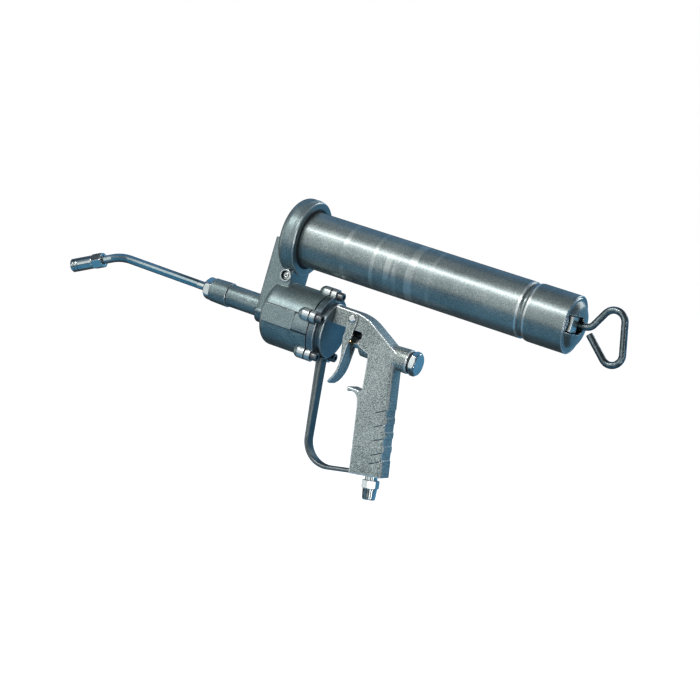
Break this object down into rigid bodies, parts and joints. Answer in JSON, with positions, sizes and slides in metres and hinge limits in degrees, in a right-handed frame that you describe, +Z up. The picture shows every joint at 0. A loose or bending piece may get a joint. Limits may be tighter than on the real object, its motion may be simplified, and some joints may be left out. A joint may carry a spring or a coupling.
{
  "type": "air-operated grease gun",
  "caption": "Air-operated pistol grease gun: long grease barrel over an air motor with a trigger handle, guard, delivery pipe and grease coupler.",
  "frame": {"origin": "centre of the flat front face of the head ring, on the barrel's axis", "axes": "+X along the barrel towards the rod handle, +Z up from the handle towards the barrel, -Y the gun's left side"},
  "size_m": [0.6164, 0.0786, 0.2673],
  "materials": {
    "cast_aluminium": "as-cast, fine grain",
    "handle_casting": "as-cast, fine grain",
    "hammertone_paint": "grey metallic paint",
    "chrome": "bright plated",
    "plated_steel": "zinc plated",
    "dark_wire": "drawn dark steel wire",
    "black_oxide": "black oxide",
    "brass": "turned",
    "rubber": "matt black",
    "spring_steel": "spring wire"
  },
  "bodies": {
    "gun": {"head_casting": "cast_aluminium", "rear_cover": "cast_aluminium", "outlet_valve_body": "cast_aluminium", "trigger_guard": "cast_aluminium", "handle": "handle_casting", "rear_plug": "chrome", "air_inlet": "chrome", "outlet_nut": "chrome", "pipe_fitting": "chrome", "delivery_pipe": "chrome", "coupler_sleeve": "chrome", "coupler_body": "chrome", "bleed_screw": "plated_steel", "valve_gland": "plated_steel", "trigger_pin": "plated_steel", "guard_pin": "plated_steel", "guard_screw": "plated_steel", "cap_screw_1": "black_oxide", "cap_screw_2": "black_oxide", "cap_screw_3": "black_oxide", "cap_screw_4": "black_oxide", "cap_screw_5": "black_oxide", "handle_bolt_1": "black_oxide", "handle_bolt_2": "black_oxide", "stop_screw": "black_oxide", "barrel_seal": "rubber", "barrel_gasket": "rubber", "plunger_seal": "rubber", "cover_gasket": "rubber", "valve_seat": "rubber", "plug_washer": "rubber", "return_spring": "spring_steel", "valve_spring": "spring_steel", "check_spring": "spring_steel", "coupler_spring": "spring_steel", "pin_clip": "spring_steel"},
    "barrel": {"barrel_tube": "hammertone_paint", "barrel_end_cap": "hammertone_paint", "rod_latch_plate": "plated_steel", "follower_spring": "spring_steel"},
    "pull_rod": {"follower_rod": "dark_wire", "rod_nut": "plated_steel"},
    "follower": {"follower_washer": "plated_steel", "follower_cup": "rubber", "follower_plate": "plated_steel"},
    "piston": {"air_piston": "cast_aluminium", "piston_seal": "rubber", "pump_plunger": "plated_steel", "piston_nut": "plated_steel"},
    "trigger": {"trigger": "handle_casting"},
    "valve": {"valve_stem": "brass"},
    "check_ball": {"check_ball": "plated_steel"},
    "coupler_seal": {"coupler_seal": "rubber"},
    "coupler_jaw_1": {"coupler_jaw_1": "plated_steel"},
    "coupler_jaw_2": {"coupler_jaw_2": "plated_steel"},
    "coupler_jaw_3": {"coupler_jaw_3": "plated_steel"},
    "coupler_jaw_4": {"coupler_jaw_4": "plated_steel"}
  },
  "joints": [
    {"name": "barrel_turn", "type": "hinge", "parent": "gun", "child": "barrel", "pos_m": [0, 0, 0], "axis": [1, 0, 0], "range_deg": [-360, 0]},
    {"name": "rod_pull", "type": "slide", "parent": "barrel", "child": "pull_rod", "axis": [1, 0, 0], "range_m": [0, 0.2], "stiffness_N_per_m": 150, "springref_m": -0.15, "deforming": ["follower_spring"]},
    {"name": "follower_travel", "type": "slide", "parent": "barrel", "child": "follower", "axis": [1, 0, 0], "range_m": [0, 0.2]},
    {"name": "piston_stroke", "type": "slide", "parent": "gun", "child": "piston", "axis": [-1, 0, 0], "range_m": [0, 0.02], "stiffness_N_per_m": 2000, "springref_m": -0.005, "deforming": ["return_spring"]},
    {"name": "trigger_pull", "type": "hinge", "parent": "gun", "child": "trigger", "pos_m": [0.0932, 0, -0.0606], "axis": [0, -1, 0], "range_deg": [0, 8], "stiffness_Nm_per_rad": 2, "springref_deg": -5.73},
    {"name": "valve_stem_travel", "type": "slide", "parent": "gun", "child": "valve", "axis": [1, 0, 0], "range_m": [0, 0.0034], "deforming": ["valve_spring"]},
    {"name": "check_ball_lift", "type": "slide", "parent": "gun", "child": "check_ball", "axis": [-1, 0, 0], "range_m": [0, 0.002], "stiffness_N_per_m": 150, "springref_m": -0.001, "deforming": ["check_spring"]},
    {"name": "coupler_seal_travel", "type": "slide", "parent": "gun", "child": "coupler_seal", "axis": [0.9026, 0, 0.4305], "range_m": [0, 0.0025], "stiffness_N_per_m": 400, "springref_m": -0.001, "deforming": ["coupler_spring"]},
    {"name": "coupler_jaw_1_spread", "type": "slide", "parent": "gun", "child": "coupler_jaw_1", "axis": [0.8754, 0.0564, 0.48], "range_m": [0, 0.0026]},
    {"name": "coupler_jaw_2_spread", "type": "slide", "parent": "gun", "child": "coupler_jaw_2", "axis": [0.8754, -0.0564, 0.48], "range_m": [0, 0.0026]},
    {"name": "coupler_jaw_3_spread", "type": "slide", "parent": "gun", "child": "coupler_jaw_3", "axis": [0.924, -0.0564, 0.3782], "range_m": [0, 0.0026]},
    {"name": "coupler_jaw_4_spread", "type": "slide", "parent": "gun", "child": "coupler_jaw_4", "axis": [0.924, 0.0564, 0.3782], "range_m": [0, 0.0026]}
  ],
  "couplings": [
    {"joint": "follower_travel", "follows": "rod_pull", "ratio": 1},
    {"joint": "valve_stem_travel", "follows": "trigger_pull", "m_per_rad": 0.024},
    {"joint": "coupler_jaw_1_spread", "follows": "coupler_seal_travel", "ratio": 1.0032},
    {"joint": "coupler_jaw_2_spread", "follows": "coupler_seal_travel", "ratio": 1.0032},
    {"joint": "coupler_jaw_3_spread", "follows": "coupler_seal_travel", "ratio": 1.0032},
    {"joint": "coupler_jaw_4_spread", "follows": "coupler_seal_travel", "ratio": 1.0032}
  ]
}
